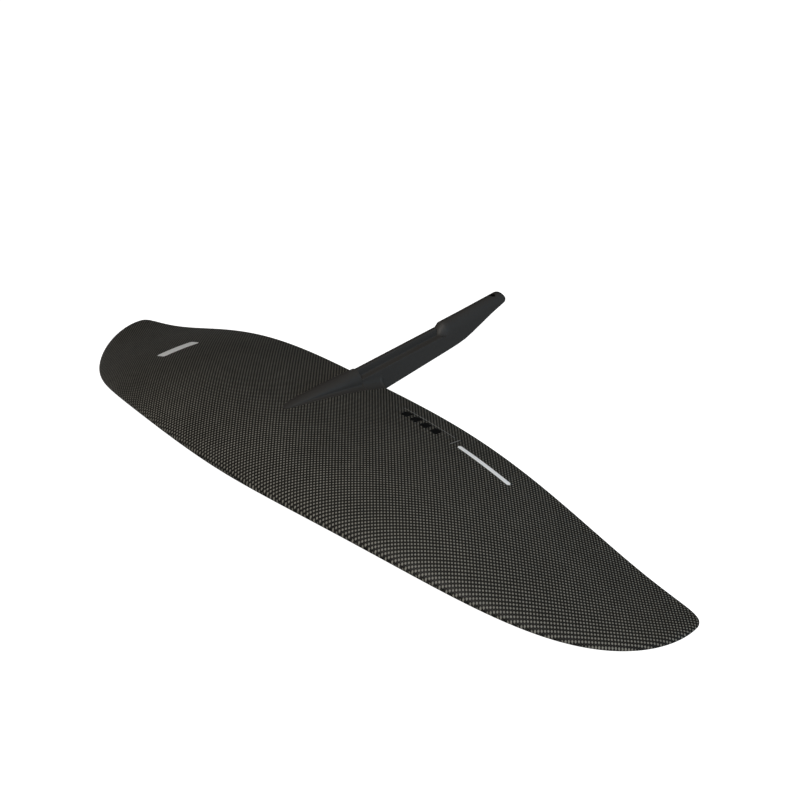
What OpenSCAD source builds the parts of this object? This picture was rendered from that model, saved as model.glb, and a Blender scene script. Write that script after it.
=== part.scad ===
// Front wing of a hydrofoil, with the stub that carries the mast.
// Working frame of the shape functions (the wing frame): X across the span, Y aft from the
// leading edge at the centre, Z up from the root chord line. to_seat() then moves everything
// to the part's own frame, whose origin is the centre of the mast rib's top face.

/* [Wing planform] */
// Half of the span
half_span = 475; // [455:1:500]
// Chord at the centre, as a share of the half span
root_chord_share = 0.5054; // [0.48:0.002:0.53]
// Height lost from the centre to the tips, as a share of the half span
tip_droop_share = 0.186; // [0.12:0.002:0.2]
// Nose-down twist at the tips, in radians
washout = 0.042; // [0:0.002:0.06]

/* [Wing section] */
// Thickness over chord at the centre
root_thickness = 0.139; // [0.12:0.001:0.15]
// Thickness over chord at the tips
tip_thickness = 0.102; // [0.09:0.001:0.12]
// Camber over chord at the centre
root_camber = 0.063; // [0.04:0.001:0.07]
// Camber over chord at the tips
tip_camber = 0.024; // [0.01:0.001:0.04]
// Thickness of the trailing edge
edge_thickness = 1.2; // [1:0.1:2]
// Laminate thickness of the skins at the centre
skin_thickness = 1.6; // [1.2:0.1:2]

/* [Stub] */
// Width of the stub
stub_width = 22; // [20:0.5:24]
// Wall thickness of the stub's shells
shell_wall = 1.8; // [1.5:0.1:2]
// Distance from the leading edge to the end of the stub's tail
stub_end = 482; // [470:1:500]
// Depth of the stub below the chord line at the trailing edge
belly_depth = 13; // [12:0.5:15]

/* [Mast seat] */
// Length of the mast rib
rib_length = 140; // [120:1:150]
// Thickness of the mast rib
rib_thickness = 5.5; // [4:0.5:6]
// Height of the rib above the shoulders
rib_height = 10; // [9:0.2:11]
// Angle between the seat and the root chord line
seat_tilt = 0.9; // [0.5:0.1:1.3]
// Thread minor radius of the tail insert
insert_bore_r = 2.5; // [2:0.1:3]

/* [Hidden] */

// ---- colours ----
weave_color = [0.13, 0.13, 0.12];
carbon_color = [0.10, 0.10, 0.11];
stub_color = [0.19, 0.21, 0.23];
foam_color = [0.85, 0.80, 0.62];
block_color = [0.45, 0.42, 0.30];

// ---- wing outline and section ----
// Every span station is an angle t, with x = half_span * sin(t), so stations crowd to the tips.
h = half_span;
tip_t = 88.5;
edge_gap = 0.25;
fit_gap = 0.2;
bond_gap = 0.2;

function sweep_u(t) = 1 - cos(t);
function lead_y(t) = h * (0.5368 * sweep_u(t) - 0.1024 * pow(sweep_u(t), 2) + 0.0357 * pow(sweep_u(t), 3));
function trail_y(t) = h * (root_chord_share + 0.0035 * sweep_u(t)
                           + (0.4665 - root_chord_share) * pow(sweep_u(t), 6));
function chord(t) = trail_y(t) - lead_y(t);
function share(t) = abs(sin(t));
function droop(t) = h * tip_droop_share * pow(sin(90 * pow(share(t), 1.53)), 2);
function mix(a, b, w) = a + (b - a) * w;
function section_shape(s) = 5 * (0.2969 * sqrt(s) - 0.1260 * s - 0.3516 * pow(s, 2)
                                 + 0.2843 * pow(s, 3) - 0.1036 * pow(s, 4));
function camber_shape(s) = s < 0.4 ? (0.8 * s - s * s) / 0.16 : (0.2 + 0.8 * s - s * s) / 0.36;

// Mid surface and half thickness at span angle t and chord share s
function mid_z(t, s) = -droop(t) + chord(t) * (washout * pow(share(t), 2) * s
                       + mix(root_camber, tip_camber, share(t)) * camber_shape(s));
function half_z(t, s) = chord(t) * mix(root_thickness, tip_thickness, share(t)) * section_shape(s)
                        + edge_thickness / 2 * mix(0.15, 1, s);
function skin_z(t) = skin_thickness * mix(1, 0.55, share(t));
function inner_half(t, s) = max(0, half_z(t, s) - skin_z(t));

function t_at(x) = asin(x / h);

// ---- a closed solid between two surfaces over a grid of stations ----
// top and bottom give heights at grid place (a, b); place turns (a, b, z) into a point.
// keep says which cells of the grid exist, so a layer can have a slot.
module layer(aa, bb, top, bottom, place, keep = function (i, j) true) {
    na = len(aa);
    nb = len(bb);
    size = na * nb;
    points = concat(
        [for (a = aa) for (b = bb) place(a, b, top(a, b))],
        [for (a = aa) for (b = bb) place(a, b, bottom(a, b))]
    );
    on = function (i, j) i >= 0 && j >= 0 && i < na - 1 && j < nb - 1 && keep(i, j);
    at = function (i, j) i * nb + j;
    wall = function (p, q) [[p, q, q + size], [p, q + size, p + size]];
    faces = concat(
        [for (i = [0 : na - 2]) for (j = [0 : nb - 2]) if (on(i, j)) each [
            [at(i, j), at(i, j + 1), at(i + 1, j + 1)],
            [at(i, j), at(i + 1, j + 1), at(i + 1, j)],
            [at(i, j) + size, at(i + 1, j + 1) + size, at(i, j + 1) + size],
            [at(i, j) + size, at(i + 1, j) + size, at(i + 1, j + 1) + size]
        ]],
        [for (i = [0 : na - 2]) for (j = [0 : nb - 2]) if (on(i, j)) each concat(
            on(i, j - 1) ? [] : wall(at(i, j), at(i + 1, j)),
            on(i, j + 1) ? [] : wall(at(i + 1, j + 1), at(i, j + 1)),
            on(i - 1, j) ? [] : wall(at(i, j + 1), at(i, j)),
            on(i + 1, j) ? [] : wall(at(i + 1, j), at(i + 1, j + 1))
        )]
    );
    polyhedron(points, faces, convexity = 6);
}

// ---- stations ----
slot_half = stub_width / 2 - 1.4;
slot_t = t_at(slot_half);
span_steps = 12;
half_stations = [for (k = [0 : span_steps]) mix(slot_t, tip_t, k / span_steps)];
all_stations = concat([for (k = [span_steps : -1 : 0]) -half_stations[k]], half_stations);
chord_steps = 16;
slot_step = 9;
chord_stations = [for (j = [0 : chord_steps]) (1 - cos(180 * j / chord_steps)) / 2];
slot_share = chord_stations[slot_step];
front_shares = [0.045, 0.085, 0.13, 0.19, 0.215, 0.238];
rear_shares = [0.262, 0.285, 0.31, 0.38, 0.45, slot_share, 0.68, 0.78, 0.86];
cap_shares = [0.19, 0.215, 0.238, 0.262, 0.285, 0.31];
core_end_t = half_stations[8];
root_t = t_at(30);

// The skins are flat between stations. These two follow them between stations: each takes a
// function of the span angle, or of the chord share, and mixes its values at the stations
// on both sides.
function across(t, value) = let (
    a = abs(t),
    i = min(span_steps - 1, floor(span_steps * (a - slot_t) / (tip_t - slot_t))),
    t0 = half_stations[i],
    t1 = half_stations[i + 1]
) a <= slot_t ? value(slot_t) : mix(value(t0), value(t1), (sin(a) - sin(t0)) / (sin(t1) - sin(t0)));
function along(s, value) = let (
    j = min(chord_steps - 1, floor(chord_steps * acos(1 - 2 * s) / 180)),
    s0 = chord_stations[j],
    s1 = chord_stations[j + 1]
) mix(value(s0), value(s1), (s - s0) / (s1 - s0));

function inner_z(t, s, side) =
    across(t, function (a) along(s, function (b) mid_z(a, b) + side * inner_half(a, b)));
function outer_z(t, s, side) =
    across(t, function (a) along(s, function (b) mid_z(a, b) + side * half_z(a, b)));
place_wing = function (t, s, z) [h * sin(t), across(t, function (a) lead_y(a) + chord(a) * s), z];

// Height of the wing's surface over a plan point; side is 1 for the top and -1 for the bottom
function s_at(x, y) = let (front = across(t_at(x), function (a) lead_y(a)),
    depth = across(t_at(x), function (a) chord(a))) min(1, max(0, (y - front) / depth));
function wing_z(x, y, side) = outer_z(t_at(x), s_at(x, y), side);

// Stations on one side, from one angle to another, in steps that match the skins
function side_stations(t0, t1) = concat(
    [t0],
    [for (t = half_stations) if (t > t0 + 0.8 && t < t1 - 0.8) t],
    [t1]
);
function both_sides(list) = concat([for (k = [len(list) - 1 : -1 : 0]) -list[k]], list);

// ---- skins ----
in_slot = function (i, j) i == span_steps && j >= slot_step;

module skin(side) {
    outer = function (t, s) mid_z(t, s) + side * half_z(t, s);
    inner = function (t, s) mid_z(t, s) + side * inner_half(t, s);
    layer(all_stations, chord_stations, side > 0 ? outer : inner, side > 0 ? inner : outer,
          place_wing, function (i, j) !in_slot(i, j));
}

module upper_skin() {
    color(weave_color) to_seat() skin(1);
}

module lower_skin() {
    color(weave_color) to_seat() skin(-1);
}

// ---- what is between the skins ----
// Depth that the spar caps take from the cores, largest in the middle of the cap
cap_depth = 1.6;
function cap_z(s) = s < cap_shares[0] || s > cap_shares[5] ? 0
    : 0.1 + cap_depth * sin(180 * (s - cap_shares[0]) / (cap_shares[5] - cap_shares[0]));
function layer_z(t, s, side, depth) = inner_z(t, s, side) - side * (edge_gap + depth);
function core_depth(s) = cap_z(s) > 0 ? cap_z(s) + fit_gap : 0;

module filler(stations, shares, keep = function (i, j) true) {
    layer(stations, shares,
          function (t, s) layer_z(t, s, 1, core_depth(s)),
          function (t, s) layer_z(t, s, -1, core_depth(s)),
          place_wing, keep);
}

function mirrored(list) = [for (k = [len(list) - 1 : -1 : 0]) -list[k]];

module leading_edge_strip() {
    color(carbon_color) to_seat()
        filler(both_sides(side_stations(slot_t, half_stations[9])), [0.012, 0.024, 0.036]);
}

module port_trailing_edge_insert() {
    color(carbon_color) to_seat() filler(side_stations(root_t + 0.1, core_end_t), [0.875, 0.9, 0.925]);
}

module starboard_trailing_edge_insert() {
    color(carbon_color) to_seat()
        filler(mirrored(side_stations(root_t + 0.1, core_end_t)), [0.875, 0.9, 0.925]);
}

module port_front_core() {
    color(foam_color) to_seat() filler(side_stations(0.05, core_end_t), front_shares);
}

module starboard_front_core() {
    color(foam_color) to_seat() filler(mirrored(side_stations(0.05, core_end_t)), front_shares);
}

module port_rear_core() {
    color(foam_color) to_seat() filler(side_stations(root_t + 0.1, core_end_t), rear_shares);
}

module starboard_rear_core() {
    color(foam_color) to_seat() filler(mirrored(side_stations(root_t + 0.1, core_end_t)), rear_shares);
}

tip_stations = [core_end_t + 0.3, half_stations[9], half_stations[10]];
tip_shares = [0.1, 0.18, 0.33, 0.5, 0.65, 0.8];

module port_tip_block() {
    color(block_color) to_seat() filler(tip_stations, tip_shares);
}

module starboard_tip_block() {
    color(block_color) to_seat() filler(mirrored(tip_stations), tip_shares);
}

module spar_cap(side) {
    outer = function (t, s) layer_z(t, s, side, 0);
    inner = function (t, s) layer_z(t, s, side, cap_z(s));
    layer(both_sides(side_stations(slot_t, core_end_t)), cap_shares, side > 0 ? outer : inner,
          side > 0 ? inner : outer, place_wing);
}

module upper_spar_cap() {
    color(carbon_color) to_seat() spar_cap(1);
}

module lower_spar_cap() {
    color(carbon_color) to_seat() spar_cap(-1);
}

module spar_web() {
    color(carbon_color) to_seat() filler(both_sides(side_stations(slot_t, core_end_t)), [0.243, 0.257]);
}

// ---- stub lines, all in the wing frame ----
trail_0 = trail_y(0);
b0 = stub_width / 2;
beam_half = b0 - shell_wall - 0.2;
ridge_start = 98;
rib_mid_y = 281.5;
rib_top_z = 29.6;
rib_front = rib_mid_y - rib_length / 2;
rib_back = rib_mid_y + rib_length / 2;
tail_full = rib_back + 12;
belly_start = 62;
crest_tail = 32.1;
end_mid = 19.5;
slot_y = trail_0 * slot_share;

function clamp01(v) = max(0, min(1, v));
function ease(v) = clamp01(v) * clamp01(v) * (3 - 2 * clamp01(v));
function seat_line(y) = rib_top_z - rib_height / cos(seat_tilt) - tan(seat_tilt) * (y - rib_mid_y);
function ridge_crest(y) = 33.2 - 0.00035 * pow(y - 140, 2);
function end_round(y) = sqrt(max(0, 1 - pow(clamp01((y - (stub_end - 7)) / 7.2), 2)));
function half_width(y) = mix(b0, b0 - 2, clamp01((y - tail_full) / (stub_end - tail_full)))
                         * mix(0.55, 1, end_round(y));

// Belly: a parabola under the wing, a long straight, then a steeper straight to the end
knee_reach = 14;
function belly_front(y) = -belly_depth * (1 - pow((trail_0 - y) / (trail_0 - belly_start), 2));
function belly_back(y) = max(-belly_depth + 0.038 * (y - trail_0), 17.5 - 0.3 * (stub_end - 2 - y));
function belly_line(y) = (belly_back(y - knee_reach) + 2 * belly_back(y) + belly_back(y + knee_reach)) / 4;
function belly_low(y) = y < trail_0 ? belly_front(y)
    : mix(belly_back(y), belly_line(y), ease((y - trail_0) / 40));

// The end of the tail is rounded: over a long stretch on top, and a short one below
function turn_in(y, reach) = sqrt(max(0, 1 - pow(clamp01((y - (stub_end - reach)) / (reach + 0.2)), 2)));
function belly_z(y) = mix(end_mid, belly_low(y), turn_in(y, 3));
function tail_z(y) = mix(end_mid, crest_tail - 0.004 * (y - 372), turn_in(y, 13));

// The line where the two shells meet behind the trailing edge
function part_z(y) = mix(0.2, end_mid, clamp01((y - trail_0) / (stub_end - trail_0)));

// Half of the ridge's footprint on the wing, wide at the trailing edge
function toe_x(y) = 22 * pow(clamp01((y - ridge_start + 0.5) / (trail_0 - ridge_start)), 0.45);
function belly_toe_x(y) = 18 * pow(clamp01((y - belly_start + 0.5) / (trail_0 - belly_start)), 0.5);

// ---- shell sections ----
// One half of a section: an arched crown, a shoulder, and a side that ends either in a hollow
// fillet on the wing or at the shells' meeting line. A higher power makes a squarer arch.
// Along the rib the crown is only as wide as the rib, and seat_cut() trims it to the shoulders.
crown_angles = [90, 74, 58, 42, 28, 14, 0];
fillet_angles = [0, 25, 50, 70, 90];

function arch(half, foot_z, top_z, power) = [for (a = crown_angles)
    [half * pow(cos(a), 2 / power), foot_z + (top_z - foot_z) * pow(sin(a), 2 / power)]];
function hollow(half, toe, z_side, z_toe) = [for (a = fillet_angles)
    [half + (toe - half) * (1 - cos(a)), z_toe + (z_side - z_toe) * (1 - sin(a))]];
function straight(half, z0, z1) = [for (k = [0 : 4]) [half, mix(z0, z1, k / 4)]];
function blend(p, q, w) = [for (k = [0 : len(p) - 1]) mix(p[k], q[k], w)];
function behind(y) = ease((y - trail_0 - 0.3) / 6);

// Each shell is described by how wide its crown is at y, and how high the crown and its foot are
ridge_rise = 25;
seat_stock = 0.4;
function on_wing(y, toe, side) = wing_z(min(toe, 22), min(y, trail_0), side) + side * 0.3;
function behind_rib(y) = clamp01((y - rib_back) / (tail_full - rib_back));

function crown_half(y) = y < rib_front ? min(half_width(y), toe_x(y) * 0.62)
    : mix(rib_thickness / 2 + 0.6, half_width(y) - 0.05, sqrt(behind_rib(y)));
function crown_top(y) = y < rib_front
    ? mix(on_wing(y, 0, 1), ridge_crest(y), ease((y - ridge_start + 6) / ridge_rise))
    : mix(seat_line(y) + (y < rib_back ? seat_stock : 0.02), tail_z(y), sqrt(behind_rib(y)));
function tail_foot(y) = min(mix(part_z(y), tail_z(y), 0.6), max(part_z(y) + 1.6, seat_line(y) - 3));
function crown_foot(y) = y < rib_front
    ? max(13.5, mix(on_wing(y, toe_x(y), 1), crown_top(y), 0.3))
    : mix(seat_line(y) + (y < rib_back ? seat_stock - 0.02 : 0), tail_foot(y), ease(behind_rib(y)));
function upper_half(y) = y < rib_front ? crown_half(y) + 0.02 : half_width(y);

// Points of the outside, from the top of the crown to the toe
function outside(half, crown, shoulder, fillet_end, meeting_z, y) = let (
    fall = shoulder[1] - fillet_end[1],
    fillet_z = abs(fall) > 13 ? fillet_end[1] + sign(fall) * 12 : mix(fillet_end[1], shoulder[1], 0.9)
) concat(crown, [[max(crown[6][0] + 0.01, half - 0.9), mix(crown[6][1], shoulder[1], 0.02)], shoulder],
    blend(hollow(half, fillet_end[0], fillet_z, fillet_end[1]),
          straight(half, mix(shoulder[1], meeting_z, 0.1), meeting_z), behind(y)));

function upper_outer(y) = let (
    toe = max(toe_x(y), upper_half(y) + 0.3),
    foot = crown_foot(y),
    edge = min(0.8, 0.2 * (foot - mix(on_wing(y, toe, 1), part_z(y), behind(y))))
) outside(upper_half(y), arch(crown_half(y), foot, crown_top(y), 2),
          [upper_half(y), foot - edge], [toe, on_wing(y, toe, 1)], part_z(y) + 0.2, y);

function lower_half(y) = min(half_width(y), belly_toe_x(y) * 0.62);
function belly_top(y) = y < trail_0
    ? min(belly_z(y), on_wing(y, 0, -1) - 0.1)
    : belly_z(y);
function lower_foot(y) = y < trail_0 ? mix(on_wing(y, belly_toe_x(y), -1), belly_top(y), 0.5)
    : min(belly_z(y) + 5, mix(belly_z(y), part_z(y), 0.6));

function lower_outer(y) = let (
    toe = max(belly_toe_x(y), lower_half(y) + 0.3),
    foot = lower_foot(y),
    edge = min(0.8, 0.2 * (mix(on_wing(y, toe, -1), part_z(y), behind(y)) - foot))
) outside(lower_half(y), arch(lower_half(y) - 0.02, foot, belly_top(y), 3.2),
          [lower_half(y), foot + edge], [toe, on_wing(y, toe, -1)], part_z(y) - 0.2, y);

// Points of the inside, from the toe to the wall of the beam's space
function inside(y, toe, side) = let (
    toe_in = mix(toe, half_width(y), behind(y)),
    wall_x = min(slot_half, toe_in * 0.8),
    base = function (x) mix(wing_z(x, min(y, trail_0), side) + side * bond_gap,
                            part_z(y) + side * 0.03, behind(y))
) [for (x = [toe_in, (toe_in + wall_x) / 2, wall_x]) [x, base(x)]];

function upper_inner(y) = inside(y, max(toe_x(y), upper_half(y) + 0.3), 1);
function lower_inner(y) = inside(y, max(belly_toe_x(y), lower_half(y) + 0.3), -1);

// A ring goes down the outside on +X, back inside, and up again on -X
function ring(y, outer, inner) = let (
    right = concat(outer, inner),
    last = len(right) - 1,
    left = [for (k = [last : -1 : 1]) [-right[k][0], right[k][1]]]
) [for (p = concat(right, [[0, right[last][1]]], left)) [p[0], y, p[1]]];

// A closed solid through the rings. Each end cap is a fan from the middle of the crown.
module loft(rings, flip) {
    n = len(rings[0]);
    last = len(rings) - 1;
    points = [for (r = rings) each r];
    walls = [for (i = [0 : last - 1]) for (k = [0 : n - 1]) each [
        [i * n + k, i * n + (k + 1) % n, (i + 1) * n + (k + 1) % n],
        [i * n + k, (i + 1) * n + (k + 1) % n, (i + 1) * n + k]
    ]];
    cap = function (i) [for (k = [1 : n - 2]) [i * n, i * n + k, i * n + k + 1]];
    turn = function (list) [for (f = list) [f[2], f[1], f[0]]];
    polyhedron(points, flip ? concat(turn(walls), turn(cap(last)), cap(0))
                            : concat(walls, cap(last), turn(cap(0))), convexity = 8);
}

// Turns the wing frame into the part's frame: the seat level, the rib's top centre at the origin
module to_seat() {
    rotate([seat_tilt, 0, 0]) translate([0, -rib_mid_y, -rib_top_z]) children();
}

// ---- the stub's pieces ----
upper_stations = [
    for (y = [ridge_start : 9 : ridge_start + 40]) y,
    slot_y + 6, 165, 182, 198, rib_front - 0.1, rib_front + 0.1,
    225, trail_0 - 4, trail_0 + 0.2, trail_0 + 2, trail_0 + 4, trail_0 + 6.5,
    280, 318, rib_back, rib_back + 0.5, rib_back + 2, rib_back + 5, rib_back + 8, tail_full,
    tail_full + 8, 400, 440, 462, stub_end - 13, stub_end - 9, stub_end - 6,
    stub_end - 3, stub_end - 1.5, stub_end - 0.5, stub_end
];
lower_stations = [
    belly_start, 68, 78, 95, 115, 135, slot_y + 6, 175, 200, 222,
    trail_0 - 4, trail_0 + 0.2, trail_0 + 2, trail_0 + 4, trail_0 + 6.5,
    265, 300, 340, 374, 380, 386, 392, 398, 404, 410, 418, 440, 462, stub_end - 9, stub_end - 5,
    stub_end - 3, stub_end - 1.5, stub_end - 0.5, stub_end
];

insert_y = 180;
insert_r = 4.5;
insert_top = 3.5;
insert_length = 7;
rib_depth = 22;

// A space for the rib, or for the insert, cut through whatever is drawn before it
module rib_space(gap) {
    cube([rib_thickness + 2 * gap, rib_length + 2 * gap, 2 * rib_depth + 2 * gap], center = true);
}

module insert_space(gap) {
    translate([0, insert_y, insert_top - insert_length - gap])
        cylinder(r = insert_r + gap, h = insert_length + 10, $fn = 64);
}

// Cuts the shell down to the two shoulders beside the rib
module seat_cut() {
    translate([-stub_width, -rib_length / 2, -rib_height]) cube([2 * stub_width, rib_length, 2 * rib_height]);
}

// Side view of the beam in the wing frame: a tenon inside the root block, then a deep bar that
// follows the shoulders above and the belly below
tenon_front = 76;
tenon_low = 6.5;
tenon_back = slot_y + 3;
beam_end = stub_end - 9.5;
top_cover = 3.2;
belly_cover = 3;
end_cover = 5.4;
beam_gap = 0.06;
function beam_top(y) = seat_line(y) - top_cover;
function beam_outline(gap) = [
    [tenon_front - gap, tenon_low - gap], [tenon_back, tenon_low - gap],
    for (y = [slot_y + 10, 200, trail_0, 350, 398, 418]) [y, belly_z(y) + belly_cover - gap],
    [beam_end + gap, belly_z(beam_end) + belly_cover - gap],
    [beam_end + gap, tail_z(beam_end) - end_cover + gap], [tail_full, beam_top(tail_full) + gap],
    [tenon_back, beam_top(tenon_back) + gap], [tenon_front - gap, beam_top(tenon_back) + gap]
];

// The bar narrows with the tail. A gap makes it larger all round, as the space it is set into.
module beam_shape(gap) {
    half = beam_half + gap;
    end_half = half_width(beam_end) - shell_wall - 0.2 + gap;
    intersection() {
        translate([b0, 0, 0]) rotate([0, -90, 0])
            linear_extrude(2 * b0) polygon([for (p = beam_outline(gap)) [p[1], p[0]]]);
        translate([0, 0, -60]) linear_extrude(120) polygon([
            [-half, 0], [half, 0], [half, tail_full], [end_half, beam_end + 5],
            [-end_half, beam_end + 5], [-half, tail_full]
        ]);
    }
}

module stub_upper_shell() {
    color(stub_color) difference() {
        to_seat() loft([for (y = upper_stations) ring(y, upper_outer(y), upper_inner(y))], true);
        to_seat() beam_shape(beam_gap);
        seat_cut();
        rib_space(0.05);
        insert_space(0.05);
    }
}

module stub_lower_shell() {
    color(stub_color) difference() {
        to_seat() loft([for (y = lower_stations) ring(y, lower_outer(y), lower_inner(y))], false);
        to_seat() beam_shape(beam_gap);
    }
}

module stub_beam() {
    color(carbon_color) difference() {
        to_seat() beam_shape(0);
        rib_space(0.05);
        insert_space(0.05);
    }
}

module mast_rib() {
    color(stub_color) translate([-rib_thickness / 2, -rib_length / 2, -rib_depth])
        cube([rib_thickness, rib_length, rib_depth]);
}

module tail_insert() {
    color("silver") translate([0, insert_y, insert_top - insert_length]) difference() {
        cylinder(r = insert_r, h = insert_length, $fn = 64);
        translate([0, 0, -1]) cylinder(r = insert_bore_r, h = insert_length + 2, $fn = 64);
    }
}

// The root block fills the wing around the beam's tenon, and leaves the slot free behind it
root_stations = [-root_t, -slot_t, slot_t, root_t];
root_shares = [0.267, 0.285, 0.31, 0.38, 0.45, slot_share, 0.68, 0.78, 0.86];

module root_block() {
    color(block_color) difference() {
        to_seat() filler(root_stations, root_shares, function (i, j) !(i == 1 && j >= 5));
        to_seat() beam_shape(beam_gap);
    }
}

// ---- transfers: thin plain marks on the top skin ----
mark_thickness = 0.2;
mark_step = 4.5;

film_gap = 0.3;
module bar(x0, x1, y0, y1) {
    top = function (x, y) wing_z(x, y, 1) + film_gap + mark_thickness;
    bottom = function (x, y) wing_z(x, y, 1) + film_gap;
    across_steps = ceil((x1 - x0) / mark_step);
    along_steps = ceil((y1 - y0) / mark_step);
    layer([for (k = [0 : across_steps]) mix(x0, x1, k / across_steps)],
          [for (k = [0 : along_steps]) mix(y0, y1, k / along_steps)],
          top, bottom, function (x, y, z) [x, y, z]);
}

module starboard_tip_mark() {
    color("white") to_seat() bar(-260, -242, 110, 166);
}

module port_name_bar() {
    color("white") to_seat() bar(168, 243, 202, 208);
}

module port_size_bars() {
    color("black") to_seat() for (k = [0 : 3]) bar(84 + 15 * k, 94 + 15 * k, 199, 212);
}

module port_hairline() {
    color("gray") to_seat() bar(76, 155, 214.6, 215.4);
}

module port_divider() {
    color("gray") to_seat() bar(160, 161, 200, 217);
}

upper_skin();
lower_skin();
leading_edge_strip();
port_trailing_edge_insert();
starboard_trailing_edge_insert();
port_front_core();
starboard_front_core();
port_rear_core();
starboard_rear_core();
port_tip_block();
starboard_tip_block();
root_block();
upper_spar_cap();
lower_spar_cap();
spar_web();
stub_beam();
stub_upper_shell();
stub_lower_shell();
mast_rib();
tail_insert();
starboard_tip_mark();
port_name_bar();
port_size_bars();
port_hairline();
port_divider();
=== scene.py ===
import math

import bpy
import numpy as np
from mathutils import Matrix, Vector


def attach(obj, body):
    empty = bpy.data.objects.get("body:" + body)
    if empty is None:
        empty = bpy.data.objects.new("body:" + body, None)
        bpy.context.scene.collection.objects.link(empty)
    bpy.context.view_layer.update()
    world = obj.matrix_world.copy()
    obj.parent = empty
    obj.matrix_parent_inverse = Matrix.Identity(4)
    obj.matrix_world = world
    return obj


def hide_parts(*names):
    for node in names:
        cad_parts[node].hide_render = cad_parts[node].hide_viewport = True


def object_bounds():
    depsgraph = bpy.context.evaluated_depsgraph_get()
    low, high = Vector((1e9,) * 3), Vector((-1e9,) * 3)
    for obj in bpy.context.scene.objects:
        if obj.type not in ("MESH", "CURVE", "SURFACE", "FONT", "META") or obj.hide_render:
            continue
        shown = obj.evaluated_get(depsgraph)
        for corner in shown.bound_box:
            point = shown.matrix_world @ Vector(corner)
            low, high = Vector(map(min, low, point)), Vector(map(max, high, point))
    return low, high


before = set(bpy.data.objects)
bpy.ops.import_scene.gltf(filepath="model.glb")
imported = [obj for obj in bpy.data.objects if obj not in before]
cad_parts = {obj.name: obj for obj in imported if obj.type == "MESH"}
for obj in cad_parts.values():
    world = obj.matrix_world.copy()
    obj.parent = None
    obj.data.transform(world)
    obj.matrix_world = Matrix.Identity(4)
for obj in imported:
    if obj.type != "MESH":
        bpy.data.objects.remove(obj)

cad_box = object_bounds()

# ---- sizes, in millimetres, in the wing frame: X span, Y aft of the leading edge, Z up ----
MM = 0.001
HALF_SPAN = 475.0
ROOT_CHORD_SHARE = 0.5054
TIP_DROOP_SHARE = 0.186
WASHOUT = 0.042
ROOT_THICKNESS, TIP_THICKNESS = 0.139, 0.102
ROOT_CAMBER, TIP_CAMBER = 0.063, 0.024
EDGE_THICKNESS = 1.2
SKIN = 1.6
TIP_T = 88.5
SLOT_HALF = 9.6

STUB_HALF = 11.0
STUB_END = 482.0
END_MID = 19.5
CROWN_TURN, BELLY_TURN, WIDTH_TURN = 13.0, 3.0, 7.0
BELLY_DEPTH = 13.0
RIDGE_START = 98.0
RIDGE_TOP_Y, RIDGE_TOP_Z = 140.0, 33.2
BELLY_START = 62.0
KNEE_REACH = 14.0
TOE, BELLY_TOE = 22.0, 18.0
CREST_TAIL = 32.1
RIB_LENGTH, RIB_THICKNESS, RIB_HEIGHT = 140.0, 5.5, 10.0
RIB_MID_Y, RIB_TOP_Z = 281.5, 29.6
RIB_FRONT = RIB_MID_Y - RIB_LENGTH / 2
RIB_BACK = RIB_MID_Y + RIB_LENGTH / 2
TAIL_FULL = RIB_BACK + 12
SEAT_TILT = math.radians(0.9)
INSERT_R, INSERT_Y, INSERT_LOW, INSERT_GAP = 4.5, 180.0, -3.55, 0.05
ABOVE_CROWN = 9.0
TOW = 2.355


def to_seat(points):
    """Wing frame in millimetres to the part's frame in metres."""
    p = np.asarray(points, float) - np.array([0, RIB_MID_Y, RIB_TOP_Z])
    c, s = math.cos(SEAT_TILT), math.sin(SEAT_TILT)
    return np.stack([p[..., 0], p[..., 1] * c - p[..., 2] * s, p[..., 1] * s + p[..., 2] * c], -1) * MM


def clamp01(v):
    return np.clip(v, 0.0, 1.0)


def mix(a, b, w):
    return a + (b - a) * w


def ease(v):
    v = clamp01(v)
    return v * v * (3 - 2 * v)


# ---- wing shape: t is the span angle in degrees, s the share of the chord ----
def lead_y(t):
    u = 1 - np.cos(np.radians(t))
    return HALF_SPAN * (0.5368 * u - 0.1024 * u ** 2 + 0.0357 * u ** 3)


def trail_y(t):
    u = 1 - np.cos(np.radians(t))
    return HALF_SPAN * (ROOT_CHORD_SHARE + 0.0035 * u + (0.4665 - ROOT_CHORD_SHARE) * u ** 6)


def chord(t):
    return trail_y(t) - lead_y(t)


def share(t):
    return np.abs(np.sin(np.radians(t)))


def mid_z(t, s):
    droop = HALF_SPAN * TIP_DROOP_SHARE * np.sin(np.radians(90 * share(t) ** 1.53)) ** 2
    bow = np.where(s < 0.4, (0.8 * s - s * s) / 0.16, (0.2 + 0.8 * s - s * s) / 0.36)
    return -droop + chord(t) * (WASHOUT * share(t) ** 2 * s + mix(ROOT_CAMBER, TIP_CAMBER, share(t)) * bow)


def half_z(t, s):
    shape = 5 * (0.2969 * np.sqrt(s) - 0.1260 * s - 0.3516 * s ** 2 + 0.2843 * s ** 3 - 0.1036 * s ** 4)
    edge = EDGE_THICKNESS / 2 * mix(0.15, 1, s)
    return chord(t) * mix(ROOT_THICKNESS, TIP_THICKNESS, share(t)) * shape + edge


def inner_half(t, s):
    return np.maximum(0, half_z(t, s) - SKIN * mix(1, 0.55, share(t)))


def wing_z(x, y, side):
    t = np.degrees(np.arcsin(np.asarray(x, float) / HALF_SPAN))
    s = clamp01((y - lead_y(t)) / chord(t))
    return mid_z(t, s) + side * half_z(t, s)


# ---- mesh helpers ----
def make_piece(name, verts, faces, material, node_names, sharp=35.0):
    mesh = bpy.data.meshes.new(name)
    mesh.from_pydata([tuple(v) for v in verts], [], faces)
    mesh.validate()
    mesh.update()
    mesh.shade_smooth()
    mesh.set_sharp_from_angle(angle=math.radians(sharp))
    piece = bpy.data.objects.new(name, mesh)
    bpy.context.scene.collection.objects.link(piece)
    mesh.materials.append(material)
    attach(piece, "root")
    if node_names:
        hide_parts(*node_names)
    return piece


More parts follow.
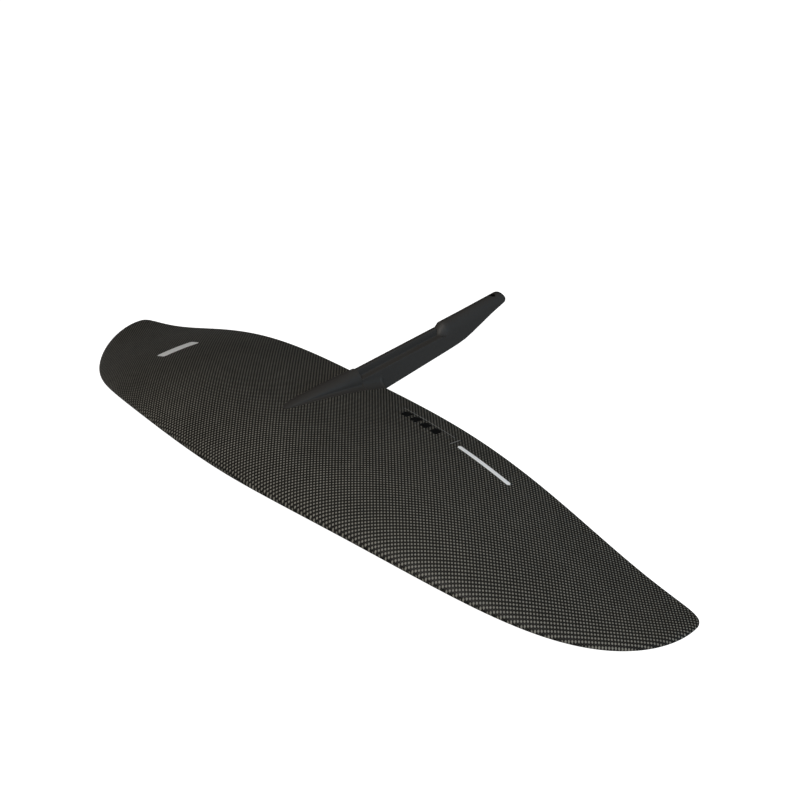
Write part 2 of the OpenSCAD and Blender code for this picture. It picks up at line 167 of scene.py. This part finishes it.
def layer(top, bottom, keep):
    """A closed solid between two (na, nb, 3) grids. keep(i, j) says which cells exist."""
    na, nb = top.shape[:2]
    size = na * nb
    on = np.array([[keep(i, j) for j in range(nb - 1)] for i in range(na - 1)])
    faces = []

    def there(i, j):
        return 0 <= i < na - 1 and 0 <= j < nb - 1 and on[i, j]

    for i in range(na - 1):
        for j in range(nb - 1):
            if not on[i, j]:
                continue
            a, b, c, d = i * nb + j, (i + 1) * nb + j, (i + 1) * nb + j + 1, i * nb + j + 1
            faces.append((a, b, c, d))
            faces.append((a + size, d + size, c + size, b + size))
            for present, p, q in ((there(i, j - 1), a, b), (there(i + 1, j), b, c),
                                  (there(i, j + 1), c, d), (there(i - 1, j), d, a)):
                if not present:
                    faces.append((q, p, p + size, q + size))
    verts = np.concatenate([top.reshape(-1, 3), bottom.reshape(-1, 3)])
    used = np.unique([v for f in faces for v in f])
    number = {int(v): k for k, v in enumerate(used)}
    return verts[used], [tuple(number[v] for v in f) for f in faces]


def loft(rings):
    """A closed solid through rings that all have the same number of points."""
    count = len(rings[0])
    faces = []
    for i in range(len(rings) - 1):
        for k in range(count):
            n = (k + 1) % count
            faces.append((i * count + k, (i + 1) * count + k, (i + 1) * count + n, i * count + n))
    faces.append(tuple(range(count)))
    faces.append(tuple((len(rings) - 1) * count + k for k in reversed(range(count))))
    return np.concatenate(rings), faces


# ---- materials ----
class Nodes:
    """Short calls for building a node tree."""

    def __init__(self, name):
        self.material = bpy.data.materials.new(name)
        self.material.use_nodes = True
        self.tree = self.material.node_tree
        self.tree.nodes.clear()
        self.output = self.tree.nodes.new("ShaderNodeOutputMaterial")
        self.shader = self.tree.nodes.new("ShaderNodeBsdfPrincipled")
        self.link(self.shader.outputs[0], self.output.inputs[0])
        self.coords = self.tree.nodes.new("ShaderNodeTexCoord").outputs["Object"]

    def link(self, source, target):
        self.tree.links.new(source, target)

    def feed(self, target, value):
        if isinstance(value, bpy.types.NodeSocket):
            self.link(value, target)
        else:
            target.default_value = value

    def math(self, operation, *values):
        node = self.tree.nodes.new("ShaderNodeMath")
        node.operation = operation
        for k, value in enumerate(values):
            self.feed(node.inputs[k], value)
        return node.outputs[0]

    def scale(self, factors):
        node = self.tree.nodes.new("ShaderNodeVectorMath")
        node.operation = "MULTIPLY"
        self.link(self.coords, node.inputs[0])
        node.inputs[1].default_value = factors
        return node.outputs[0]

    def noise(self, factors, detail=3.0, rough=0.55):
        node = self.tree.nodes.new("ShaderNodeTexNoise")
        self.link(self.scale(factors), node.inputs["Vector"])
        node.inputs["Scale"].default_value = 1.0
        node.inputs["Detail"].default_value = detail
        node.inputs["Roughness"].default_value = rough
        return node.outputs["Fac"]

    def colour(self, fac, dark, light):
        node = self.tree.nodes.new("ShaderNodeMix")
        node.data_type = "RGBA"
        self.feed(node.inputs["Factor"], fac)
        node.inputs["A"].default_value = (*dark, 1)
        node.inputs["B"].default_value = (*light, 1)
        return node.outputs["Result"]

    def bump(self, height, distance, strength=1.0):
        node = self.tree.nodes.new("ShaderNodeBump")
        self.link(height, node.inputs["Height"])
        node.inputs["Distance"].default_value = distance
        node.inputs["Strength"].default_value = strength
        self.link(node.outputs[0], self.shader.inputs["Normal"])

    def set(self, **values):
        names = {"base": "Base Color", "rough": "Roughness", "metal": "Metallic", "coat": "Coat Weight",
                 "coat_rough": "Coat Roughness", "specular": "Specular IOR Level"}
        for key, value in values.items():
            self.feed(self.shader.inputs[names[key]], value)
        return self.material


def woven_carbon():
    """Plain weave under a thin coat. The base colour holds a painted reflection: cells of tows along Y get
    a bright painted highlight on their crowns, cells of tows along X a faint one, and the colour falls to
    dark at each cell's edges.
    """
    n = Nodes("woven_carbon")
    split = n.tree.nodes.new("ShaderNodeSeparateXYZ")
    n.link(n.scale((1 / (TOW * MM),) * 3), split.inputs[0])
    u, v = split.outputs[0], split.outputs[1]
    odd = n.math("FLOORED_MODULO", n.math("ADD", n.math("FLOOR", u), n.math("FLOOR", v)), 2.0)
    hump_u = n.math("SINE", n.math("MULTIPLY", n.math("FRACT", u), math.pi))
    hump_v = n.math("SINE", n.math("MULTIPLY", n.math("FRACT", v), math.pi))
    crown = n.math("MULTIPLY", n.math("POWER", hump_u, 0.8), n.math("POWER", hump_v, 0.8))
    tow_tone = n.noise((90, 90, 90), 2.0)
    cloth_tone = n.noise((9, 9, 9), 2.0)
    fibres = n.noise((5200, 420, 400), 1.0)
    # Painted highlight: the brightness of each tow's crown stands in for light reflected by the tows. It
    # is strong on tows along Y and faint on tows along X.
    y_tow_highlight = n.math("MULTIPLY", n.math("SUBTRACT", 1.0, odd), crown)
    x_tow_highlight = n.math("MULTIPLY", n.math("MULTIPLY", odd, crown), 0.085)
    level = n.math("ADD", y_tow_highlight, x_tow_highlight)
    unevenness = n.math("ADD", n.math("MULTIPLY", tow_tone, 0.35), n.math("MULTIPLY", cloth_tone, 0.3))
    tone = n.math("ADD", 0.55, unevenness)
    fibre_tone = n.math("ADD", 0.8, n.math("MULTIPLY", fibres, 0.4))
    level = n.math("MULTIPLY", level, n.math("MULTIPLY", tone, fibre_tone))
    # The dark colour is the carbon's own. The warm light colour is the painted highlight.
    base = n.colour(level, (0.0016, 0.0016, 0.0015), (0.250, 0.240, 0.212))
    n.bump(crown, 0.00012, 0.35)
    return n.set(base=base, rough=0.5, specular=0.05, coat=0.02, coat_rough=0.28)


def stub_coat():
    n = Nodes("stub_coat")
    grain = n.noise((1500, 1500, 1500), 3.0)
    patches = n.noise((28, 12, 28), 3.0)
    base = n.colour(patches, (0.0325, 0.0302, 0.0280), (0.0410, 0.0381, 0.0352))
    n.bump(grain, 0.00003, 0.5)
    rough = n.math("ADD", 0.52, n.math("MULTIPLY", patches, 0.12))
    return n.set(base=base, rough=rough, specular=0.3)


def straight_carbon():
    n = Nodes("straight_carbon")
    streaks = n.noise((40, 2600, 900), 3.0)
    n.bump(streaks, 0.00004, 0.5)
    return n.set(base=n.colour(streaks, (0.008, 0.008, 0.008), (0.045, 0.045, 0.046)), rough=0.42)


def foam():
    n = Nodes("foam")
    cells = n.tree.nodes.new("ShaderNodeTexVoronoi")
    n.link(n.scale((900, 900, 900)), cells.inputs["Vector"])
    cells.inputs["Scale"].default_value = 1.0
    n.bump(cells.outputs["Distance"], 0.0003, 0.7)
    base = n.colour(cells.outputs["Distance"], (0.52, 0.45, 0.28), (0.78, 0.72, 0.52))
    return n.set(base=base, rough=0.9)


def resin_block():
    n = Nodes("resin_block")
    specks = n.noise((700, 700, 700), 5.0)
    n.bump(specks, 0.00005, 0.4)
    return n.set(base=n.colour(specks, (0.20, 0.18, 0.11), (0.36, 0.33, 0.22)), rough=0.6)


def turned_steel():
    n = Nodes("turned_steel")
    marks = n.noise((3000, 3000, 300), 2.0)
    n.bump(marks, 0.00002, 0.4)
    return n.set(base=n.colour(marks, (0.018, 0.018, 0.018), (0.085, 0.083, 0.08)), metal=1.0, rough=0.4)


def film(name, dark, light, rough):
    n = Nodes(name)
    wear = n.noise((160, 160, 160), 5.0, 0.65)
    n.bump(n.noise((900, 900, 900), 2.0), 0.00001, 0.4)
    return n.set(base=n.colour(wear, dark, light), rough=rough, specular=0.3)


WEAVE = woven_carbon()
COAT = stub_coat()
LAMINATE = straight_carbon()
FOAM = foam()
BLOCK = resin_block()
STEEL = turned_steel()
WHITE = film("white_film", (0.86, 0.86, 0.86), (0.98, 0.98, 0.98), 0.45)
BLACK = film("black_film", (0.002, 0.002, 0.002), (0.005, 0.005, 0.005), 0.4)
GREY = film("grey_film", (0.15, 0.15, 0.15), (0.22, 0.22, 0.22), 0.45)

for node_name, node_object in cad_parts.items():
    if node_name.endswith("core"):
        finish = FOAM
    elif node_name.endswith("block"):
        finish = BLOCK
    elif node_name == "tail_insert":
        finish = STEEL
    else:
        finish = LAMINATE
    node_object.data.materials.clear()
    node_object.data.materials.append(finish)

# ---- skins ----
SPAN_CELLS = 110
CHORD_CELLS = 80
SLOT_CELL = CHORD_CELLS * 9 // 16
slot_t = math.degrees(math.asin(SLOT_HALF / HALF_SPAN))
half_stations = np.linspace(slot_t, TIP_T, SPAN_CELLS + 1)
span_t = np.concatenate([-half_stations[::-1], half_stations])[:, None]
chord_s = (1 - np.cos(np.pi * np.arange(CHORD_CELLS + 1) / CHORD_CELLS))[None, :] / 2


def wing_grid(side, half):
    z = mid_z(span_t, chord_s) + side * half(span_t, chord_s)
    x = HALF_SPAN * np.sin(np.radians(span_t)) + 0 * z
    return to_seat(np.stack([x, lead_y(span_t) + chord(span_t) * chord_s, z], -1))


def skin(name, side, node_name):
    outer, inner = wing_grid(side, half_z), wing_grid(side, inner_half)
    top, bottom = (outer, inner) if side > 0 else (inner, outer)
    verts, faces = layer(top, bottom, lambda i, j: not (i == SPAN_CELLS and j >= SLOT_CELL))
    return make_piece(name, verts, faces, WEAVE, [node_name], 50)


skin("wing_top", 1, "upper_skin")
skin("wing_bottom", -1, "lower_skin")

# ---- stub ----
TRAIL_0 = float(trail_y(0.0))


def seat_line(y):
    return RIB_TOP_Z - RIB_HEIGHT / math.cos(SEAT_TILT) - math.tan(SEAT_TILT) * (y - RIB_MID_Y)


def ridge_crest(y):
    return RIDGE_TOP_Z - 0.00035 * (y - RIDGE_TOP_Y) ** 2


def end_round(y):
    return math.sqrt(max(0, 1 - clamp01((y - (STUB_END - WIDTH_TURN)) / (WIDTH_TURN + 0.2)) ** 2))


def half_width(y):
    narrow = mix(STUB_HALF, STUB_HALF - 2, clamp01((y - TAIL_FULL) / (STUB_END - TAIL_FULL)))
    return narrow * mix(0.55, 1, end_round(y))


def belly_back(y):
    return max(-BELLY_DEPTH + 0.038 * (y - TRAIL_0), 17.5 - 0.3 * (STUB_END - 2 - y))


def turn_in(y, reach):
    return math.sqrt(max(0, 1 - clamp01((y - (STUB_END - reach)) / (reach + 0.2)) ** 2))


def belly_z(y):
    if y < TRAIL_0:
        z = -BELLY_DEPTH * (1 - ((TRAIL_0 - y) / (TRAIL_0 - BELLY_START)) ** 2)
    else:
        knee = (belly_back(y - KNEE_REACH) + 2 * belly_back(y) + belly_back(y + KNEE_REACH)) / 4
        z = mix(belly_back(y), knee, ease((y - TRAIL_0) / 40))
    return mix(END_MID, z, turn_in(y, BELLY_TURN))


def tail_z(y):
    return mix(END_MID, CREST_TAIL - 0.004 * (y - 372), turn_in(y, CROWN_TURN))


def part_z(y):
    return mix(0.2, END_MID, clamp01((y - TRAIL_0) / (STUB_END - TRAIL_0)))


def toe_x(y):
    return TOE * clamp01((y - RIDGE_START + 0.5) / (TRAIL_0 - RIDGE_START)) ** 0.45


def belly_toe_x(y):
    return BELLY_TOE * clamp01((y - BELLY_START + 0.5) / (TRAIL_0 - BELLY_START)) ** 0.5


def behind(y):
    return float(ease((y - TRAIL_0 - 0.3) / 6))


def behind_rib(y):
    return float(clamp01((y - RIB_BACK) / (TAIL_FULL - RIB_BACK)))


CROWN = np.radians(np.linspace(90, 0, 25))
FILLET = np.radians(np.linspace(0, 90, 15))
EDGE_POINTS = 6
SUNK = 0.15
EDGE_RADIUS = 1.0


def on_wing(y, x, side, lift=0.04):
    return float(wing_z(min(x, TOE), min(y, TRAIL_0), side)) + side * lift


def arch(half, foot, top, power):
    x = half * np.cos(CROWN) ** (2 / power)
    z = foot + (top - foot) * np.sin(CROWN) ** (2 / power)
    return np.stack([x, z], -1)


def side_points(half, crown, foot, edge, toe, toe_z, meeting_z, y):
    """From the crown's foot round the edge, then on to the wing or to the line where the shells meet.
    The edge's radius is positive on the upper shell and negative on the lower one."""
    turn = np.radians(np.linspace(90, 0, EDGE_POINTS))
    start = max(crown[-1, 0] + 0.01, half - abs(edge))
    edge_x = start + (half - start) * np.cos(turn)
    edge_z = foot - edge + edge * np.sin(turn)
    fall = foot - edge - toe_z
    reach = 12 * np.sign(fall) if abs(fall) > 13 else fall * 0.9
    hollow_x = half + (toe - half) * (1 - np.cos(FILLET))
    hollow = np.stack([hollow_x, toe_z + reach * (1 - np.sin(FILLET))], -1)
    steps = np.linspace(0.02, 1, len(FILLET))
    straight = np.stack([half + 0 * steps, mix(foot - edge, meeting_z, steps)], -1)
    return np.concatenate([crown, np.stack([edge_x, edge_z], -1), mix(hollow, straight, behind(y))])


def bottom_points(y, toe, side):
    toe_in = mix(toe, half_width(y), behind(y))
    points = []
    for x in (toe_in * 0.97, toe_in * 0.5, 0.0):
        sunk_z = float(wing_z(x, min(y, TRAIL_0), side)) - SUNK * side
        points.append([x, mix(sunk_z, part_z(y), behind(y))])
    return np.array(points)


def upper_ring(y):
    ridge = y < RIB_FRONT
    half = min(half_width(y), toe_x(y) * 0.62) if ridge else half_width(y)
    toe = max(toe_x(y), half + 0.3)
    if ridge:
        top = mix(on_wing(y, 0, 1), ridge_crest(y), ease((y - RIDGE_START + 6) / 25))
        foot = max(13.5, mix(on_wing(y, toe, 1), top, 0.3))
        crown = arch(half - 0.02, foot, top, 2)
    else:
        wide = math.sqrt(behind_rib(y))
        top = mix(seat_line(y) + 0.02, tail_z(y), wide)
        low = min(mix(part_z(y), tail_z(y), 0.6), max(part_z(y) + 1.6, seat_line(y) - 3))
        foot = mix(seat_line(y), low, float(ease(behind_rib(y))))
        crown = arch(mix(RIB_THICKNESS / 2 + 0.6, half - 0.05, wide), foot, top, 2)
    bottom_z = mix(on_wing(y, toe, 1), part_z(y), behind(y))
    edge = min(EDGE_RADIUS, 0.2 * (foot - bottom_z))
    outer = side_points(half, crown, foot, edge, toe, on_wing(y, toe, 1), part_z(y) + 0.02, y)
    return outer, bottom_points(y, toe, 1)


def lower_ring(y):
    half = min(half_width(y), belly_toe_x(y) * 0.62)
    toe = max(belly_toe_x(y), half + 0.3)
    under = min(belly_z(y), on_wing(y, 0, -1) - 0.1) if y < TRAIL_0 else belly_z(y)
    if y < TRAIL_0:
        foot = mix(on_wing(y, toe, -1), under, 0.5)
    else:
        foot = min(belly_z(y) + 5, mix(belly_z(y), part_z(y), 0.6))
    ceiling = mix(on_wing(y, toe, -1), part_z(y), behind(y))
    edge = -min(EDGE_RADIUS, 0.2 * (ceiling - foot))
    crown = arch(half - 0.02, foot, under, 3.2)
    outer = side_points(half, crown, foot, edge, toe, on_wing(y, toe, -1), part_z(y) - 0.02, y)
    return outer, bottom_points(y, toe, -1)


def whole_ring(y, section):
    outer, bottom = section(y)
    right = np.concatenate([outer, bottom])
    left = right[1:-1][::-1] * [-1, 1]
    ring = np.concatenate([right, left])
    return to_seat(np.stack([ring[:, 0], np.full(len(ring), y), ring[:, 1]], -1))


def spread(*stretches):
    """Stations from stretches of (first, last, steps)."""
    ys = np.concatenate([np.linspace(a, b, n, endpoint=False) for a, b, n in stretches])
    return np.append(ys, stretches[-1][1])


END_ANGLES = np.radians(np.linspace(0, 90, 20))
end_ys = STUB_END - CROWN_TURN + CROWN_TURN * np.sin(END_ANGLES)
nose_ys = RIB_BACK + 0.02 + 12 * np.linspace(0, 1, 14) ** 2
upper_ys = np.concatenate([
    RIDGE_START + 52 * np.linspace(0, 1, 30) ** 1.6,
    spread((155, RIB_FRONT - 0.05, 18)),
    spread((RIB_FRONT + 0.05, TRAIL_0 - 0.5, 8), (TRAIL_0, TRAIL_0 + 7, 12), (TRAIL_0 + 8, RIB_BACK, 22)),
    nose_ys, spread((TAIL_FULL + 6, STUB_END - CROWN_TURN - 1, 24)), end_ys])
lower_ys = np.concatenate([
    BELLY_START + 60 * np.linspace(0, 1, 24) ** 1.5,
    spread((128, TRAIL_0 - 0.5, 24), (TRAIL_0, TRAIL_0 + 7, 12),
           (TRAIL_0 + 8, STUB_END - CROWN_TURN - 1, 60)), end_ys])


def shell(name, ys, section, node_name):
    verts, faces = loft([whole_ring(float(y), section) for y in ys])
    return make_piece(name, verts, faces, COAT, [node_name], 40)


def recess(piece, radius, y, low, high):
    """Cut an upright round hole into a piece. Sizes in millimetres, in the part's frame."""
    count = 64
    turn = np.linspace(0, 2 * math.pi, count, endpoint=False)
    circle = np.stack([radius * np.cos(turn), y + radius * np.sin(turn)], -1)
    verts, faces = loft([np.column_stack([circle, np.full(count, z)]) * MM for z in (high, low)])
    mesh = bpy.data.meshes.new("cutter")
    mesh.from_pydata([tuple(v) for v in verts], [], faces)
    cutter = bpy.data.objects.new("cutter", mesh)
    bpy.context.scene.collection.objects.link(cutter)
    cut = piece.modifiers.new("recess", "BOOLEAN")
    cut.operation, cut.solver, cut.object = "DIFFERENCE", "EXACT", cutter
    bpy.context.view_layer.update()
    graph = bpy.context.evaluated_depsgraph_get()
    shaped = bpy.data.meshes.new_from_object(piece.evaluated_get(graph))
    piece.modifiers.remove(cut)
    piece.data = shaped
    shaped.set_sharp_from_angle(angle=math.radians(40))
    bpy.data.objects.remove(cutter)


stub_top = shell("stub_top", upper_ys, upper_ring, "stub_upper_shell")
recess(stub_top, INSERT_R + INSERT_GAP, INSERT_Y, INSERT_LOW, ABOVE_CROWN)
shell("stub_belly", lower_ys, lower_ring, "stub_lower_shell")


def rib():
    """The rib with rounded top edges and a small fillet at its foot, in the part's frame."""
    half, edge, fillet = RIB_THICKNESS / 2, 1.2, 1.3
    turn = np.radians(np.linspace(90, 0, 7))
    top = [(half - edge + edge * math.cos(a), -edge + edge * math.sin(a)) for a in turn]
    foot = [(half + fillet - fillet * math.cos(a), -RIB_HEIGHT + fillet - fillet * math.sin(a))
            for a in np.radians(np.linspace(0, 90, 7))]
    right = top + foot + [(half + fillet, -RIB_HEIGHT - 0.4)]
    ring = right + [(-x, z) for x, z in reversed(right)]
    stations = np.linspace(-RIB_LENGTH / 2, RIB_LENGTH / 2, 29)
    rings = [np.array([(x * MM, y * MM, z * MM) for x, z in ring]) for y in stations]
    verts, faces = loft(rings)
    make_piece("rib", verts, faces, COAT, ["mast_rib"], 40)


rib()

# ---- transfers: thin films with round corners on the top skin ----
FILM = 0.06


def transfer(name, boxes, material, node_name, radius):
    verts, faces = [], []
    for x0, x1, y0, y1 in boxes:
        columns = max(6, int((x1 - x0) / 1.5))
        rows = max(4, int((y1 - y0) / 1.5))
        a = mix(x0, x1, np.linspace(0, 1, columns + 1))
        r = min(radius, (x1 - x0) / 2, (y1 - y0) / 2)
        inset = np.maximum(0, r - np.minimum(a - x0, x1 - a))
        trim = r - np.sqrt(np.maximum(0, r * r - inset * inset))
        b = np.linspace(0, 1, rows + 1)
        y = mix((y0 + trim)[:, None], (y1 - trim)[:, None], b[None, :])
        x = a[:, None] + 0 * y
        z = wing_z(x, y, 1)
        top = to_seat(np.stack([x, y, z + FILM], -1))
        low = to_seat(np.stack([x, y, z + 0.01], -1))
        v, f = layer(top, low, lambda i, j: True)
        faces += [tuple(k + len(verts) for k in face) for face in f]
        verts += list(v)
    make_piece(name, verts, faces, material, [node_name], 30)


transfer("tip_mark", [(-260, -242, 110, 166)], WHITE, "starboard_tip_mark", 3)
transfer("name_bar", [(168, 243, 202, 208)], WHITE, "port_name_bar", 3)
transfer("size_bars", [(84 + 15 * k, 94 + 15 * k, 199, 212) for k in range(4)], BLACK,
         "port_size_bars", 1.5)
transfer("hairline", [(76, 155, 214.6, 215.4)], GREY, "port_hairline", 0.3)
transfer("divider", [(160, 161, 200, 217)], GREY, "port_divider", 0.3)

# ---- stage: the floor and the sky are white to the camera, and give the object little light ----
FLOOR_DROP = 0.002
floor_mesh = bpy.data.meshes.new("floor")
REACH = 40.0
floor_z = cad_box[0][2] - FLOOR_DROP
floor_mesh.from_pydata([(-REACH, -REACH, floor_z), (REACH, -REACH, floor_z), (REACH, REACH, floor_z),
                        (-REACH, REACH, floor_z)], [], [(0, 1, 2, 3)])
floor = bpy.data.objects.new("floor", floor_mesh)
bpy.context.scene.collection.objects.link(floor)
floor_nodes = Nodes("floor")
floor_nodes.set(base=(0.5, 0.5, 0.5, 1), rough=0.9, specular=0.0)
floor_nodes.shader.inputs["Emission Color"].default_value = (1, 1, 1, 1)
camera_ray = floor_nodes.tree.nodes.new("ShaderNodeLightPath").outputs["Is Camera Ray"]
floor_nodes.link(camera_ray, floor_nodes.shader.inputs["Emission Strength"])
floor_mesh.materials.append(floor_nodes.material)

SKY_LIGHT = 0.03
world = bpy.data.worlds.new("studio")
bpy.context.scene.world = world
world.use_nodes = True
tree = world.node_tree
tree.nodes.clear()
world_out = tree.nodes.new("ShaderNodeOutputWorld")
chooser = tree.nodes.new("ShaderNodeMixShader")
seen = tree.nodes.new("ShaderNodeBackground")
lit = tree.nodes.new("ShaderNodeBackground")
path = tree.nodes.new("ShaderNodeLightPath")
seen.inputs[0].default_value = (1, 1, 1, 1)
lit.inputs[0].default_value = (0.88, 0.95, 1.0, 1)
lit.inputs[1].default_value = SKY_LIGHT
tree.links.new(path.outputs["Is Camera Ray"], chooser.inputs[0])
tree.links.new(lit.outputs[0], chooser.inputs[1])
tree.links.new(seen.outputs[0], chooser.inputs[2])
tree.links.new(chooser.outputs[0], world_out.inputs[0])


def area_light(name, place, size, power, colour):
    data = bpy.data.lights.new(name, "AREA")
    data.shape = "DISK"
    data.size, data.energy, data.color = size, power, colour
    lamp = bpy.data.objects.new(name, data)
    lamp.location = place
    lamp.rotation_euler = (-Vector(place)).to_track_quat("-Z", "Y").to_euler()
    bpy.context.scene.collection.objects.link(lamp)


area_light("key", (1.5, -2.1, 2.45), 1.8, 110, (1.0, 0.965, 0.915))
area_light("side", (3.0, 0.6, 0.9), 2.0, 19, (0.3, 0.66, 1.0))

# ---- camera ----
AZIMUTH, ELEVATION, ROLL = 44.304, 32.818, 1.209
AIM = (0.1092, 0.4903, 0.0)
DISTANCE = 3.0806
LENS = 55.746


def camera():
    az, el, ro = (math.radians(a) for a in (AZIMUTH, ELEVATION, ROLL))
    back = np.array([math.sin(az) * math.cos(el), -math.cos(az) * math.cos(el), math.sin(el)])
    right = np.cross(-back, [0, 0, 1.0])
    right /= np.linalg.norm(right)
    down = np.cross(-back, right)
    right_2 = math.cos(ro) * right + math.sin(ro) * down
    down_2 = -math.sin(ro) * right + math.cos(ro) * down
    place = (np.array(AIM) + back * DISTANCE) * HALF_SPAN
    turn = Matrix.Rotation(SEAT_TILT, 3, "X")
    axes = [turn @ Vector(a) for a in (right_2, -down_2, back)]
    data = bpy.data.cameras.new("camera")
    data.lens, data.sensor_width = LENS, 36.0
    data.clip_start, data.clip_end = 0.05, 200
    cam = bpy.data.objects.new("camera", data)
    bpy.context.scene.collection.objects.link(cam)
    matrix = Matrix([[axes[c][r] for c in range(3)] for r in range(3)]).to_4x4()
    matrix.translation = Vector(to_seat(place))
    cam.matrix_world = matrix
    bpy.context.scene.camera = cam


camera()
bpy.context.scene.view_settings.view_transform = "Standard"
